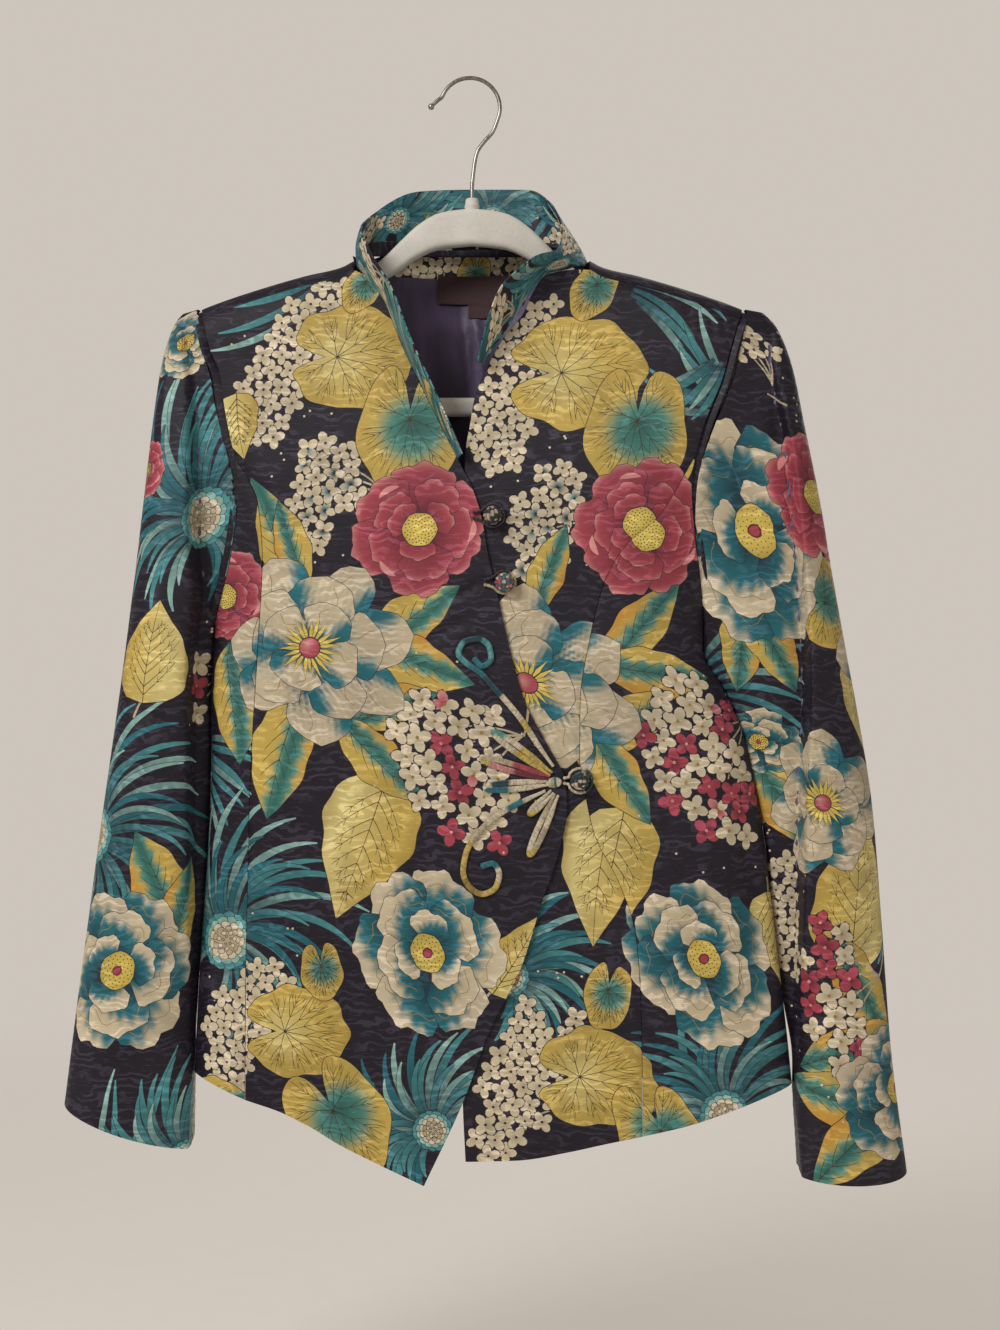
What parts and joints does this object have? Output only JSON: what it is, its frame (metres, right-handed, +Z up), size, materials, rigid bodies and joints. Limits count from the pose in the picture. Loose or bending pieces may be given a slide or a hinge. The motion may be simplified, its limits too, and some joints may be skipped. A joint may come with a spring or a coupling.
{
  "type": "tang jacket on a hanger",
  "caption": "Long-sleeved stand-collar jacket with princess seams, a slanted overlap, ball buttons and a looped frog, hanging on a hanger with a wire hook.",
  "frame": {"origin": "underside of the hanger hook's apex, where the hook rests on a rail or a peg", "axes": "+Z up, -Y the way the jacket's front faces, +X towards the wearer's left"},
  "size_m": [0.6311, 0.0979, 0.8261],
  "materials": {
    "printed_satin": "jacquard satin with a flower print, soft sheen",
    "lining": "plain satin lining",
    "label": "bare woven tape",
    "hanger": "matte off-white",
    "hook_steel": "brushed wire",
    "cream_satin": "satin bias strip",
    "crimson_satin": "satin bias strip",
    "teal_satin": "satin bias strip",
    "gold_satin": "satin bias strip"
  },
  "bodies": {
    "root": {"hanger_body": "hanger", "hanger_hook": "hook_steel", "front_right_centre": "printed_satin", "front_right_side": "printed_satin", "front_left_centre": "printed_satin", "front_left_side": "printed_satin", "back": "printed_satin", "back_neck_facing": "printed_satin", "lining_back": "lining", "collar": "printed_satin", "sleeve_right": "printed_satin", "sleeve_left": "printed_satin", "neck_label": "label", "size_tab": "label", "button_top": "printed_satin", "button_chest": "cream_satin", "button_waist": "printed_satin", "loop_top": "printed_satin", "loop_chest": "printed_satin", "loop_waist": "cream_satin", "frog_loop_1": "cream_satin", "frog_loop_2": "crimson_satin", "frog_loop_3": "teal_satin", "frog_loop_4": "cream_satin", "frog_loop_5": "gold_satin", "frog_curl_upper": "teal_satin", "frog_curl_lower": "gold_satin", "frog_root": "cream_satin"}
  },
  "joints": []
}
